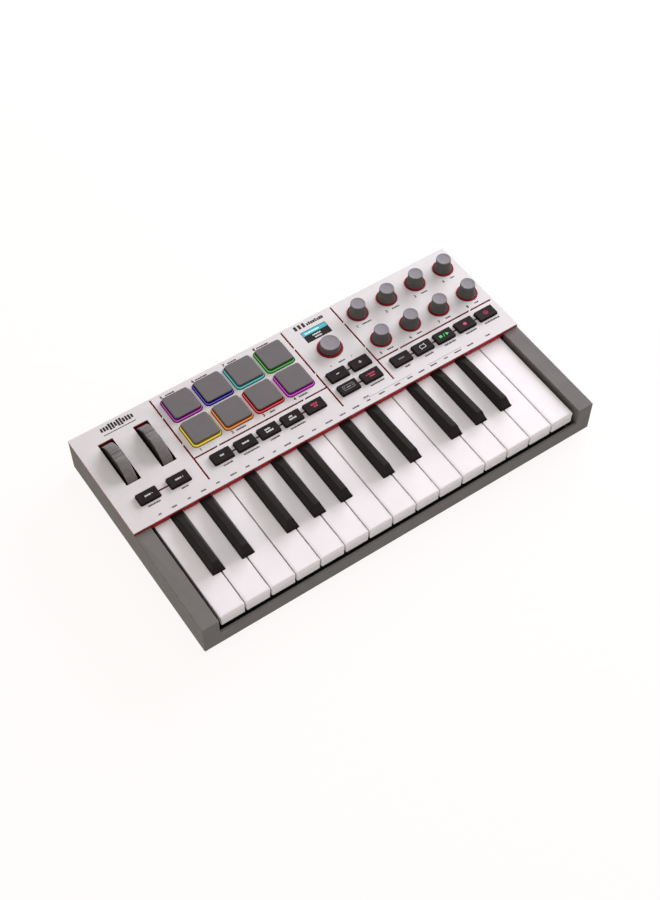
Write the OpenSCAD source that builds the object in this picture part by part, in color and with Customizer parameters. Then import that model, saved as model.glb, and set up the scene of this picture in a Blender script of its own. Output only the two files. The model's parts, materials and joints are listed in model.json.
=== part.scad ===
// Two-octave controller keyboard with pads, knobs, wheels and a small screen.
// X runs from bass to treble, Y from the player to the back, Z up; the feet stand on z = 0.

/* [Case] */
// Width over the two end cheeks
case_w = 355; // [350:1:365]
// Depth from the front rail to the back wall
case_d = 195; // [195:1:205]
// Height of the control panel above the table
panel_top = 35.8; // [35.5:0.1:37]
// Height of the end cheeks above the table
cheek_top = 32.8; // [32.4:0.1:33.4]
// Height of the low rail in front of the keys
rail_top = 16.6; // [14:0.1:18]
// Height of the rubber feet
foot_h = 2.5; // [2:0.1:3]
// Wall thickness of the grey case
wall = 2.4; // [2:0.1:2.6]

/* [Keys] */
// Number of white keys
white_count = 15; // [15:1:15]
// Spacing of the white keys
key_pitch = 21.47; // [21:0.01:21.5]
// Clearance between two white keys
key_gap = 0.8; // [0.5:0.1:1]
// Height of the white key tops above the table
key_top = 29.4; // [29:0.1:29.6]
// Key travel, degrees about the pivot rod
key_dip = 2.7; // [2:0.1:2.8]
// Width of a black key where it meets the white keys
black_w = 10.3; // [9.5:0.1:10.4]
// Height of a black key's front above the white keys
black_h = 8.9; // [7:0.1:9]
// Diameter of the key pivot rod
rod_d = 4; // [4:0.1:4]

/* [Controls] */
// Side of a pad at the panel
pad_w = 25.2; // [24:0.1:26]
// Side of a pad's top face
pad_top_w = 22.4; // [21:0.1:23]
// Height of a pad above the panel
pad_h = 4; // [3:0.1:5]
// Width of a push button
button_w = 17; // [16:0.1:17.4]
// Depth of a push button
button_d = 10; // [9:0.1:10.4]
// Height of a push button above the panel
button_h = 2.2; // [1.5:0.1:3]
// Base diameter of a small knob
knob_d = 14.5; // [14:0.1:14.8]
// Height of a small knob above the panel
knob_h = 12; // [11:0.1:14]
// Base diameter of the push encoder's knob
encoder_d = 17; // [16:0.1:17.6]
// Height of the push encoder's knob above the panel
encoder_h = 6.9; // [6.5:0.1:8]
// Radius of the pitch and modulation wheels
wheel_r = 25; // [24.6:0.1:25]
// Width of a wheel
wheel_w = 8.6; // [8:0.1:9]

/* [Hidden] */
$fn = 48;

// Case planes
half_w = case_w / 2;
front_y = -case_d / 2;
back_y = case_d / 2;
floor_z = foot_h;
floor_t = 2.2;
floor_top = floor_z + floor_t;
cheek_w = 13.9;
cheek_in = half_w - cheek_w;
panel_y = front_y + 94.6;
lip_t = 2;
plate_t = 0.8;
rim_t = 1.5;
plate_z = panel_top - plate_t;
rim_z = plate_z - rim_t;
lip_y = panel_y + lip_t;
lip_z = key_top + 0.9;
mid_y = (panel_y + back_y) / 2;
panel_d = back_y - panel_y;

// Key plan
keys_x = -white_count * key_pitch / 2;
key_front = front_y + 3.2;
white_step = 32.5;
key_cap_back = lip_y + 1.9;
key_skirt_z = 19.2;
cap_t = 2.4;
skirt_t = 1.6;
lever_half = 3.8;
lever_z = 17;
lever_top = 26;
rod_y = 24;
rod_z = 20;
rod_run = 0.05;
black_front = key_front + 33.2;
black_slot = black_w + 0.6;
black_boundaries = [1, 2, 4, 5, 6, 8, 9, 11, 12, 13];
function black_shift(b) = (b % 7 == 1) ? -1.75 : (b % 7 == 2) ? 1.75 :
    (b % 7 == 4) ? -2.45 : (b % 7 == 6) ? 2.45 : 0;
function is_black(b) = b > 0 && b < white_count && len(search(b, black_boundaries)) > 0;
function boundary_x(b) = keys_x + b * key_pitch;
function black_x(b) = boundary_x(b) + black_shift(b);
function slot_left(b) = is_black(b) ? black_x(b) + black_slot / 2 : boundary_x(b) + key_gap / 2;
function slot_right(b) = is_black(b) ? black_x(b) - black_slot / 2 : boundary_x(b) - key_gap / 2;

// Controls plan
wheel_x = [-154.5, -123.6];
wheel_y = 59.1;
wheel_proud = 9;
wheel_z = panel_top + wheel_proud - wheel_r;
wheel_cut = 2.6;
notch_turn = [0, 8];
wheel_slot_w = 12.7;
wheel_slot_d = 44.4;
wheel_slot_x = [-154.4, -123.8];
collar_h = 1.6;
pad_x0 = -88.7;
pad_pitch = 28.4;
pad_y0 = 49.8;
pad_x = [for (i = [0:3]) pad_x0 + i * pad_pitch];
pad_y = [pad_y0, pad_y0 + pad_pitch];
pad_fit = 0.5;
button_y = 19.7;
button_y2 = 34.9;
button_fit = 0.4;
left_buttons = [[-152.3, button_y], [-126.1, button_y]];
pad_buttons = [for (i = [0:4]) [-88.2 + 21 * i, button_y]];
menu_buttons = [for (y = [button_y, button_y2], x = [27.9, 49.2]) [x, y]];
transport_buttons = [for (i = [0:4]) [78.3 + 21 * i, button_y]];
all_buttons = concat(left_buttons, pad_buttons, menu_buttons, transport_buttons);
knob_x = [for (i = [0:3]) 77.6 + 28.64 * i];
knob_y = [78.8, 46.1];
knob_spots = [for (y = knob_y, x = knob_x) [x, y]];
knob_top_r = 6;
encoder_top_r = 7.9;
knob_ring_r = 8.7;
knob_ring_in = 7.7;
encoder_x = 38.5;
encoder_y = 61.3;
encoder_ring_r = 10.4;
encoder_ring_in = 9;
ring_h = 1;
knob_z = panel_top + 0.4;
shaft_d = 6;
shaft_run = 0.05;
screen_x = 38.65;
screen_y = 80.8;
screen_w = 23.5;
screen_d = 11.9;
groove_w = 1.4;
groove_cut = 0.7;
groove_front = 8.1;
groove_back = 95.4;
groove_x = [-106.8, 14.4, 62.3];
groove_row = 29.9;
row_break = 76.2;
row_break2 = 45.9;

// Inside
board_z = 27.2;
board_t = 1.6;
board_top = board_z + board_t;
board_front = 5;
board_back = 90;
web_z = board_top + 1.5;
web_t = 1.2;
chassis_t = 2;
chassis_top = floor_top + chassis_t;
contact_z = 8.7;
screw_d = 3;
head_h = 1.1;
screw_spots = [[-168, 88], [-60, 91.5], [60, 91.5], [168, 88], [-168, 8], [168, 8]];
chassis_screws = [for (x = [-140, 0, 140], y = [-60, 10]) [x, y]];
foot_spots = [for (x = [-150, 150], y = [-80, 78]) [x, y]];
jack_x = 118;
midi_x = 92;
usb_x = 146;
port_z = 18;
jack_r = 3.25;
midi_r = 7.1;
usb_w = 12.2;
usb_h = 11;

white_names = [for (i = [1:white_count]) str("white_key_", i)];
black_names = [for (i = [1:len(black_boundaries)]) str("black_key_", i)];
knob_names = [for (i = [1:8]) str("knob_", i)];
pad_names = [for (i = [1:8]) str("pad_", i)];

// A block given by its low and high corners
module span(low, high) {
    translate(low) cube(high - low);
}

// A rectangle with rounded corners, centred
module round_rect(w, d, r) {
    square([w - 2 * r, d], center = true);
    square([w, d - 2 * r], center = true);
    for (x = [-1, 1], y = [-1, 1]) translate([x * (w / 2 - r), y * (d / 2 - r)]) circle(r, $fn = 24);
}

// A straight line of the panel's engraving
module groove_line(from, to) {
    w = groove_w / 2;
    translate([min(from.x, to.x) - w, min(from.y, to.y) - w])
        square([abs(to.x - from.x) + 2 * w, abs(to.y - from.y) + 2 * w]);
}

// Slanted bridge that interrupts a groove
module groove_break(at) {
    translate(at) rotate(45) square([5, 1.2], center = true);
}

// The engraved lines that part the panel into fields
module grooves() {
    difference() {
        union() {
            for (x = groove_x) groove_line([x, groove_front], [x, groove_back]);
            groove_line([groove_x[0], groove_row], [groove_x[1], groove_row]);
            groove_line([groove_x[2], groove_row], [knob_x[3] + 11, groove_row]);
        }
        for (x = groove_x, y = [row_break, row_break2]) groove_break([x, y]);
        for (x = [pad_x[0] + 3.5, pad_x[3] - 3.5, knob_x[0] + 6, knob_x[3] - 9.5])
            groove_break([x, groove_row]);
    }
    button_link(left_buttons);
    button_link(pad_buttons);
    button_link(transport_buttons);
    for (row = [0, 2]) button_link([menu_buttons[row], menu_buttons[row + 1]]);
}

// The engraved line that joins a row of buttons
module button_link(spots) {
    groove_line(spots[0], spots[len(spots) - 1]);
}

// Openings shared by the plate and the underlay; the plate's also clear the raised knob rings
module control_openings(ring_grow) {
    for (i = [0, 1]) translate([wheel_slot_x[i], wheel_y]) square([wheel_slot_w, wheel_slot_d], center = true);
    for (x = pad_x, y = pad_y) translate([x, y]) round_rect(pad_w + 2 * pad_fit, pad_w + 2 * pad_fit, 4);
    for (spot = all_buttons) translate(spot)
        round_rect(button_w + 2 * button_fit, button_d + 2 * button_fit, 1.2);
    translate([screen_x, screen_y]) square([screen_w, screen_d], center = true);
    for (spot = knob_spots) translate(spot) circle(ring_grow == 0 ? 4 : knob_ring_r + ring_grow, $fn = 64);
    translate([encoder_x, encoder_y]) circle(ring_grow == 0 ? 4 : encoder_ring_r + ring_grow, $fn = 64);
}

// White face plate of the control panel
module top_panel() {
    color([0.89, 0.88, 0.88]) translate([0, 0, plate_z]) linear_extrude(plate_t) difference() {
        translate([0, mid_y]) square([case_w, panel_d], center = true);
        control_openings(0.2);
        grooves();
    }
}

// Red frame under the face plate: its rim, front lip, slot collars and knob rings show
module panel_underlay() {
    color([0.55, 0.05, 0.09]) difference() {
        union() {
            span([-half_w, panel_y, rim_z], [half_w, back_y, plate_z]);
            span([-half_w, panel_y, cheek_top], [half_w, lip_y, rim_z]);
            span([-cheek_in + 0.4, panel_y, lip_z], [cheek_in - 0.4, lip_y, rim_z]);
            for (i = [0, 1]) translate([wheel_slot_x[i], wheel_y, rim_z - collar_h])
                linear_extrude(collar_h) square([wheel_slot_w + 3, wheel_slot_d + 3], center = true);
            for (spot = knob_spots) translate([spot.x, spot.y, rim_z])
                cylinder(h = panel_top + ring_h - rim_z, r = knob_ring_r);
            translate([encoder_x, encoder_y, rim_z]) cylinder(h = panel_top + ring_h - rim_z, r = encoder_ring_r);
            for (spot = screw_spots) translate([spot.x, spot.y, floor_top]) cylinder(h = rim_z - floor_top, d = 6.4);
        }
        translate([0, 0, rim_z - 5]) linear_extrude(12) control_openings(0);
        translate([0, 0, plate_z - groove_cut]) linear_extrude(2) grooves();
        for (spot = knob_spots) translate([spot.x, spot.y, plate_z]) cylinder(h = 4, r = knob_ring_in);
        translate([encoder_x, encoder_y, plate_z]) cylinder(h = 4, r = encoder_ring_in);
        for (b = black_boundaries) translate([black_x(b), lip_y, lip_z])
            cube([black_slot + 0.8, 5 * lip_t, 5], center = true);
        for (spot = screw_spots) translate([spot.x, spot.y, floor_z]) cylinder(h = 20, r = screw_d / 2 + shaft_run);
    }
}

// Grey lower case: floor, end cheeks, side and back walls, front rail
module bottom_case() {
    color([0.45, 0.44, 0.42]) difference() {
        union() {
            span([-half_w, front_y, floor_z], [half_w, back_y, floor_top]);
            span([-half_w, front_y, floor_z], [half_w, front_y + wall - 0.2, rail_top]);
            span([-half_w, back_y - wall, floor_z], [half_w, back_y, rim_z]);
            for (side = [0, 1]) mirror([side, 0, 0]) end_cheek();
        }
        for (spot = concat(screw_spots, chassis_screws)) translate([spot.x, spot.y, floor_z]) screw_hole();
        translate([jack_x, back_y - wall, port_z]) rotate([-90, 0, 0]) port_hole(jack_r + 1.3);
        translate([midi_x, back_y - wall, port_z]) rotate([-90, 0, 0]) port_hole(midi_r + 1.1);
        translate([usb_x, back_y, port_z]) cube([usb_w + 0.2, 3 * wall, usb_h + 0.2], center = true);
    }
}

// One end of the case: outer wall, and a hollow cheek in front of the panel
module end_cheek() {
    span([cheek_in, front_y, floor_z], [half_w, front_y + wall, cheek_top]);
    span([half_w - wall, front_y, floor_z], [half_w, lip_y, cheek_top]);
    span([half_w - wall, lip_y, floor_z], [half_w, back_y, rim_z]);
    span([cheek_in, front_y, floor_z], [cheek_in + wall, panel_y, cheek_top]);
    span([cheek_in, front_y, cheek_top - wall], [half_w, lip_y, cheek_top]);
}

// Hole through a wall for a round connector
module port_hole(r) {
    translate([0, 0, -1]) cylinder(h = wall + 2, r = r);
}

// Screw hole in the floor, with a counterbore for the head
module screw_hole() {
    translate([0, 0, -1]) cylinder(h = floor_t + 2, d = screw_d + 0.4);
    translate([0, 0, -1]) cylinder(h = head_h + 1.1, d = 6);
}

// Plastic frame that carries the keys' pivot rod and guides
module key_chassis() {
    color([0.16, 0.16, 0.17]) difference() {
        union() {
            span([-160, front_y + 5, floor_top], [160, 29, chassis_top]);
            span([-160, front_y + 9, floor_top], [160, front_y + 13, 11.5]);
            for (b = [0, 3, 7, 10, 14, 15]) translate([boundary_x(b) + rib_shift(b), rod_y, chassis_top])
                translate([-1.5, -5, -0.1]) cube([3, 10, 16.9]);
            for (y = [-30, -14]) span([-155, y, floor_top], [155, y + 2, contact_z]);
        }
        translate([-170, rod_y, rod_z]) rotate([0, 90, 0]) cylinder(h = 340, r = rod_d / 2 + rod_run);
        for (spot = chassis_screws) translate([spot.x, spot.y, floor_z]) cylinder(h = 10, r = screw_d / 2 + shaft_run);
    }
}

// The outermost ribs stand just inside the first and last keys
function rib_shift(b) = (b == 0) ? 2.5 : (b == 15) ? -2.5 : 0;

// Steel rod that all the keys turn on
module key_pivot_rod() {
    color([0.7, 0.7, 0.72]) translate([-162, rod_y, rod_z]) rotate([0, 90, 0]) cylinder(h = 324, d = rod_d);
}

// Bracket with an axle for each wheel
module wheel_bracket() {
    color([0.2, 0.2, 0.21]) {
        span([-164, 44, floor_top], [-113, 75, chassis_top]);
        for (x = wheel_x, side = [-1, 1]) translate([x + side * 6.6, wheel_y, 0])
            translate([-1, -5, chassis_top - 0.1]) cube([2, 10, wheel_z - chassis_top + 5]);
        for (x = wheel_x) translate([x - 7, wheel_y, wheel_z]) rotate([0, 90, 0]) cylinder(h = 14, r = 2);
    }
}

// Main board under the controls with its shafts, and contact board under the keys
module circuit_boards() {
    color([0.06, 0.3, 0.16]) {
        difference() {
            span([-171, board_front, board_z], [171, board_back, board_top]);
            for (i = [0, 1]) translate([wheel_slot_x[i], wheel_y, board_z])
                cube([wheel_slot_w + 6, 2 * wheel_r + 4, 8], center = true);
            for (spot = screw_spots) translate([spot.x, spot.y, board_z - 1]) cylinder(h = 4, d = 8);
        }
        for (spot = knob_spots) translate([spot.x, spot.y, board_top]) {
            translate([-5, -5, -0.01]) cube([10, 10, 3.3]);
            cylinder(h = knob_z + 8 - board_top, d = shaft_d);
        }
        translate([encoder_x, encoder_y, board_top - 0.01]) difference() {
            translate([-6, -6, 0]) cube([12, 12, 4]);
            translate([0, 0, 0.8]) cylinder(h = 5, r = shaft_d / 2 + shaft_run);
        }
        span([-158, -31, contact_z], [158, -11, contact_z + board_t]);
    }
}

// Colour screen with its raised window
module display_module() {
    color([0.08, 0.09, 0.1]) {
        translate([screen_x, screen_y, (board_top + rim_z - 0.2) / 2])
            cube([30, 16, rim_z - 0.2 - board_top], center = true);
        translate([screen_x, screen_y, rim_z]) cube([screen_w - 0.3, screen_d - 0.3, 4], center = true);
    }
}

// Connectors in the back wall: footswitch jack, five-pin socket and square data socket
module rear_ports() {
    color([0.12, 0.12, 0.13]) {
        translate([jack_x, back_y, port_z]) rotate([90, 0, 0]) difference() {
            union() {
                cylinder(h = 5, r = jack_r + 1.2);
                translate([-7, -6, wall + 0.1]) cube([14, 12, 20]);
            }
            translate([0, 0, -1]) cylinder(h = 19, r = jack_r);
        }
        translate([midi_x, back_y, port_z]) rotate([90, 0, 0]) difference() {
            union() {
                cylinder(h = 5, r = midi_r + 1);
                translate([-10, -9, wall + 0.1]) cube([20, 18, 12]);
            }
            translate([0, 0, -1]) cylinder(h = 9, r = midi_r);
        }
        translate([usb_x, back_y - 8, port_z]) difference() {
            cube([usb_w, 16, usb_h], center = true);
            translate([0, 3, 0]) cube([usb_w - 3, 16, usb_h - 3], center = true);
        }
    }
}

// Rubber feet
module feet() {
    color([0.1, 0.1, 0.1]) for (spot = foot_spots) translate([spot.x, spot.y, 0]) cylinder(h = foot_h, d = 14);
}

// Screws that hold the case, the panel and the key chassis together
module case_screws() {
    color([0.6, 0.6, 0.62]) {
        for (spot = screw_spots) translate([spot.x, spot.y, floor_z]) screw(14);
        for (spot = chassis_screws) translate([spot.x, spot.y, floor_z]) screw(3.8);
    }
}

// One pan-head screw with its head sunk in the floor
module screw(length) {
    cylinder(h = head_h, d = 5.6);
    cylinder(h = length, d = screw_d);
}

// Wheel i: a sector above its hub, with a thumb notch turned a little back from the top on the second
module control_wheel(i) {
    color([0.35, 0.35, 0.34]) translate([wheel_x[i], wheel_y, wheel_z]) rotate([0, 90, 0]) difference() {
        union() {
            intersection() {
                cylinder(h = wheel_w, r = wheel_r, center = true, $fn = 96);
                union() {
                    translate([-wheel_cut - 15, 0, 0]) cube([30, 60, 20], center = true);
                    translate([-10, 0, 0]) cube([26, 28, 20], center = true);
                }
            }
            cylinder(h = wheel_w, r = 5.5, center = true);
        }
        cylinder(h = 30, r = 2 + shaft_run, center = true);
        rotate(-notch_turn[i]) translate([-wheel_r - 8.2, 0, 0]) cylinder(h = 30, r = 9, center = true);
    }
}

// Turned body of a knob with a blind bore for its shaft
module knob_body(base_r, top_r, height) {
    difference() {
        cylinder(h = height, r1 = base_r, r2 = top_r, $fn = 64);
        translate([0, 0, -1]) cylinder(h = height - 1.5, r = shaft_d / 2 + shaft_run);
    }
}

// One of the eight small knobs
module knob(i) {
    color([0.3, 0.3, 0.29]) translate([knob_spots[i].x, knob_spots[i].y, knob_z])
        knob_body(knob_d / 2, knob_top_r, panel_top + knob_h - knob_z);
}

// Knob of the push encoder
module encoder_knob() {
    color([0.3, 0.3, 0.29]) translate([encoder_x, encoder_y, knob_z + 0.3])
        knob_body(encoder_d / 2, encoder_top_r, panel_top + encoder_h - knob_z - 0.3);
}

// Shaft of the push encoder, which the knob turns and presses
module encoder_shaft() {
    color([0.7, 0.7, 0.72]) translate([encoder_x, encoder_y, board_top + 1.8])
        cylinder(h = panel_top + encoder_h - 2.7 - board_top - 1.8, d = shaft_d);
}

// One pad: a straight foot in its opening and a tapered crown above the panel
module pad(i) {
    color([0.46, 0.45, 0.44]) translate([pad_x[i % 4], pad_y[floor(i / 4)], board_top + 2]) {
        linear_extrude(panel_top - board_top - 1.5) round_rect(pad_w, pad_w, 3.5);
        translate([0, 0, panel_top - board_top - 1.51])
            linear_extrude(pad_h - 0.49, scale = pad_top_w / pad_w) round_rect(pad_w, pad_w, 3.5);
    }
}

// A row of silicone buttons joined by the sheet that they are moulded on
module button_strip(spots) {
    color([0.17, 0.17, 0.17]) {
        for (spot = spots) translate([spot.x, spot.y, web_z])
            linear_extrude(panel_top + button_h - web_z) round_rect(button_w, button_d, 1);
        last = spots[len(spots) - 1];
        span([spots[0].x - 9, spots[0].y - 4, web_z], [last.x + 9, last.y + 4, web_z + web_t]);
    }
}

// White key number i: wide front, narrow back between the black keys, and a lever on the rod
module white_key(i) {
    left = boundary_x(i) + key_gap / 2;
    right = boundary_x(i + 1) - key_gap / 2;
    mid = boundary_x(i + 0.5);
    step_y = key_front + white_step;
    color([0.91, 0.9, 0.9]) difference() {
        union() {
            span([left, key_front, key_skirt_z], [right, step_y, key_top]);
            span([slot_left(i), step_y - 0.1, key_skirt_z], [slot_right(i + 1), key_cap_back, key_top]);
            span([mid - lever_half, key_cap_back - 3, lever_z], [mid + lever_half, rod_y + 5, lever_top]);
        }
        span([left + skirt_t, key_front + skirt_t, lever_z - 1], [right - skirt_t, step_y - skirt_t, key_top - cap_t]);
        span([slot_left(i) + skirt_t, step_y - skirt_t - 0.1, lever_z - 1],
            [slot_right(i + 1) - skirt_t, key_cap_back - 3, key_top - cap_t]);
        translate([mid - 10, rod_y, rod_z]) rotate([0, 90, 0]) cylinder(h = 20, r = rod_d / 2 + rod_run);
    }
}

// Crown of a black key: steep flanks, a slanted front and a top that falls towards the panel
module black_crown() {
    half = black_w / 2;
    top = 2.55;
    nose_y = black_front + 3.6;
    ramp_y = panel_y - 5;
    back_y2 = panel_y - 0.3;
    polyhedron(points = [
        [-half, black_front, 0], [half, black_front, 0], [half, back_y2, 0], [-half, back_y2, 0],
        [-top, nose_y, black_h], [top, nose_y, black_h],
        [-top, ramp_y, black_h * 0.66], [top, ramp_y, black_h * 0.66],
        [-half + 0.8, back_y2, 2.6], [half - 0.8, back_y2, 2.6]
    ], faces = [
        [0, 1, 2, 3], [0, 4, 5, 1], [4, 6, 7, 5], [6, 8, 9, 7],
        [1, 5, 7], [1, 7, 9], [1, 9, 2], [0, 6, 4], [0, 8, 6], [0, 3, 8], [2, 9, 8, 3]
    ]);
}

// Black key number i: crown, skirt between the white keys, and a lever on the rod
module black_key(i) {
    x = black_x(black_boundaries[i]);
    color([0.2, 0.19, 0.18]) translate([x, 0, 0]) difference() {
        union() {
            translate([0, 0, key_top]) black_crown();
            span([-black_w / 2, black_front, key_skirt_z + 1], [black_w / 2, panel_y - 0.3, key_top]);
            span([-4.2, panel_y - 0.4, lever_z], [4.2, lip_y + 1.9, lip_z]);
            span([-3.4, lip_y, lever_z], [3.4, rod_y + 5, lever_top]);
        }
        translate([-10, rod_y, rod_z]) rotate([0, 90, 0]) cylinder(h = 20, r = rod_d / 2 + rod_run);
    }
}

top_panel();
panel_underlay();
bottom_case();
key_chassis();
key_pivot_rod();
wheel_bracket();
circuit_boards();
display_module();
rear_ports();
feet();
case_screws();
control_wheel(0);  // pitch_wheel
control_wheel(1);  // mod_wheel
encoder_shaft();
encoder_knob();
button_strip(left_buttons);
button_strip(pad_buttons);  // pad_row_buttons
button_strip(menu_buttons);
button_strip(transport_buttons);
for (i = [0:7]) knob(i);
for (i = [0:7]) pad(i);
for (i = [0:white_count - 1]) white_key(i);
for (i = [0:9]) black_key(i);
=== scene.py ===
import json
import math

import bmesh
import bpy
import numpy as np
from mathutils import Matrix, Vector


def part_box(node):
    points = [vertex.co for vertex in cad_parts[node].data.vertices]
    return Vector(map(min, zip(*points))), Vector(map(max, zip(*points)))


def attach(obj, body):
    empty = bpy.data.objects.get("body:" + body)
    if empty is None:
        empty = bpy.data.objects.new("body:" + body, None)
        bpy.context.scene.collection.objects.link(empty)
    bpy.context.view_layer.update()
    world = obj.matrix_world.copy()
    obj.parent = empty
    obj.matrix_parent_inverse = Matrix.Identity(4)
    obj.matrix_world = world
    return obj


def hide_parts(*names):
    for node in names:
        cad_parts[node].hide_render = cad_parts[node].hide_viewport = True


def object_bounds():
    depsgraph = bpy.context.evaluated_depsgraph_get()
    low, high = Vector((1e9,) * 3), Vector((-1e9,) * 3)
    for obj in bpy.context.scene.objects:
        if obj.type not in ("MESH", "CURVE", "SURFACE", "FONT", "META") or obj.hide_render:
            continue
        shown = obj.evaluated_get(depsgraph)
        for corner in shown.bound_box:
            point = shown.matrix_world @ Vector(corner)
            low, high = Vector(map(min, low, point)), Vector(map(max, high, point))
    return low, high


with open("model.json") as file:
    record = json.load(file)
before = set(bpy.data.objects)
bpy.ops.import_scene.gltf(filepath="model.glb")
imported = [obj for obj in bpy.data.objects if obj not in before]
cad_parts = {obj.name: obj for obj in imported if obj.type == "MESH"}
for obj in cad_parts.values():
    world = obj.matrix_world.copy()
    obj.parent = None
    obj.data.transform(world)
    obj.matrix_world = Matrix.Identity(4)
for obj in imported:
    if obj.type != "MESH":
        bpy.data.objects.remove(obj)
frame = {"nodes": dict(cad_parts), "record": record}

cadLow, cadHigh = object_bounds()
mm = 0.001  # shapes below are worked out in millimetres and put into the meshes in metres
nodes = frame["nodes"]


def boxOf(node):
    low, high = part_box(node)
    return np.array(low) / mm, np.array(high) / mm


def roundedOutline(corners, radii, inset=0.0, steps=5):
    # Each corner of the polygon moves in along the normals of its two edges, and an arc replaces it.
    # The arc's radius is the corner's own, less the inset where the corner is convex, plus it where it isn't.
    corners = np.asarray(corners, float)
    ahead = np.roll(corners, -1, 0) - corners
    ahead /= np.linalg.norm(ahead, axis=1)[:, None]
    behind = np.roll(ahead, 1, 0)
    quarter = np.array([[0.0, 1.0], [-1.0, 0.0]])
    inA, inB = behind @ quarter, ahead @ quarter
    dot = (inA * inB).sum(1)
    cross = behind[:, 0] * ahead[:, 1] - behind[:, 1] * ahead[:, 0]
    moved = corners + (inA + inB) * (inset / (1 + dot))[:, None]
    side = np.sign(cross)
    radius = np.maximum(np.asarray(radii, float) - side * inset, 0.02)
    turn = np.arctan2(cross, dot)
    start = moved - behind * (radius * np.tan(abs(turn) / 2))[:, None]
    centre = start + inA * (side * radius)[:, None]
    spoke = start - centre
    angle = turn[:, None] * np.linspace(0, 1, steps)
    x = centre[:, :1] + spoke[:, :1] * np.cos(angle) - spoke[:, 1:] * np.sin(angle)
    y = centre[:, 1:] + spoke[:, :1] * np.sin(angle) + spoke[:, 1:] * np.cos(angle)
    return np.stack([x, y], -1).reshape(-1, 2)


def rectangle(x, y, width, depth):
    w, d = width / 2, depth / 2
    return [(x - w, y - d), (x + w, y - d), (x + w, y + d), (x - w, y + d)]


def stack(rings):
    # Closed loops of equal length, one above the other: quads join neighbours, a polygon shuts each end.
    rings = np.asarray(rings, float)
    count, around = rings.shape[:2]
    k = np.arange(around)
    nextK = (k + 1) % around
    row = np.arange(count - 1)[:, None] * around
    quads = np.stack([row + k, row + nextK, row + around + nextK, row + around + k], -1)
    ends = [list(range(around))[::-1], list(range((count - 1) * around, count * around))]
    return rings.reshape(-1, 3), quads.reshape(-1, 4).tolist() + ends


def levels(outlines, heights):
    # Flat outlines lifted to their heights, as loops for stack().
    return [np.column_stack([o, np.broadcast_to(z, len(o))]) for o, z in zip(outlines, heights)]


def slab(corners, radii, profile, steps=5):
    # The profile is a list of (inset, height): the outline is carried up it.
    outlines = [roundedOutline(corners, radii, inset, steps) for inset, _ in profile]
    return stack(levels(outlines, [z for _, z in profile]))


def together(shapes):
    # Several (points, faces) as one.
    points, faces, first = [], [], 0
    for p, f in shapes:
        points.append(np.asarray(p, float))
        faces += [[first + i for i in face] for face in f]
        first += len(p)
    return np.concatenate(points), faces


def blocks(rects, low, high):
    # Upright boxes on the rows (x0, x1, y0, y1) of rects, all between two heights.
    r = np.asarray(rects, float).reshape(-1, 4)
    cornersX, cornersY = r[:, [0, 1, 1, 0] * 2], r[:, [2, 2, 3, 3] * 2]
    z = np.broadcast_to([low] * 4 + [high] * 4, cornersX.shape)
    points = np.stack([cornersX, cornersY, z], -1).reshape(-1, 3)
    box = np.array([[3, 2, 1, 0], [4, 5, 6, 7], [0, 1, 5, 4], [1, 2, 6, 5], [2, 3, 7, 6], [3, 0, 4, 7]])
    return points, (box + 8 * np.arange(len(r))[:, None, None]).reshape(-1, 4).tolist()


def turned(x, y, profile, around=48, ribs=0, ribDepth=0.0, ribbed=None):
    # A lathe shape about an upright axis: rows of the profile are (radius, height).
    # A cosine of the angle cuts ribs into the radius where ribbed is 1.
    radius, height = np.asarray(profile, float).T
    angle = np.linspace(0, 2 * np.pi, around, endpoint=False)
    ribbed = np.zeros(len(radius)) if ribbed is None else np.asarray(ribbed, float)
    cut = ribDepth * ribbed[:, None] * (0.5 - 0.5 * np.cos(ribs * angle))
    r = radius[:, None] - cut
    z = np.broadcast_to(height[:, None], r.shape)
    return stack(np.stack([x + r * np.cos(angle), y + r * np.sin(angle), z], -1))


def place(name, data):
    thing = bpy.data.objects.new(name, data)
    bpy.context.scene.collection.objects.link(thing)
    return thing


def put(name, shape, materials, body, stands=(), zone=None, sharp=35):
    # Makes the mesh, in metres, and gives it to its body. zone is one material number per face.
    points, faces = shape
    mesh = bpy.data.meshes.new(name)
    mesh.from_pydata((np.asarray(points) * mm).tolist(), [], faces)
    for material in materials:
        mesh.materials.append(material)
    if zone is not None:
        mesh.polygons.foreach_set("material_index", np.asarray(zone, np.int32))
    mesh.polygons.foreach_set("use_smooth", np.ones(len(mesh.polygons), bool))
    mesh.update()
    mesh.set_sharp_from_angle(angle=math.radians(sharp))
    piece = place(name, mesh)
    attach(piece, body)
    if stands:
        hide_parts(*stands)
    return piece


def softened(node, name, material, width, segments=2, body="body"):
    # A copy of the CAD node with its doubles merged, its flat faces joined and its edges rounded.
    mesh = nodes[node].data.copy()
    mesh.name = name
    work = bmesh.new()
    work.from_mesh(mesh)
    bmesh.ops.remove_doubles(work, verts=work.verts, dist=2e-6)
    bmesh.ops.dissolve_limit(work, angle_limit=math.radians(0.5), verts=work.verts, edges=work.edges)
    work.to_mesh(mesh)
    work.free()
    mesh.materials.clear()
    mesh.materials.append(material)
    mesh.polygons.foreach_set("use_smooth", np.ones(len(mesh.polygons), bool))
    mesh.set_sharp_from_angle(angle=math.radians(32))
    piece = place(name, mesh)
    bevel = piece.modifiers.new("edges", "BEVEL")
    bevel.width = width * mm
    bevel.segments = segments
    bevel.limit_method = "ANGLE"
    bevel.angle_limit = math.radians(40)
    bevel.use_clamp_overlap = False
    bevel.harden_normals = True
    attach(piece, body)
    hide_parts(node)
    return piece


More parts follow.
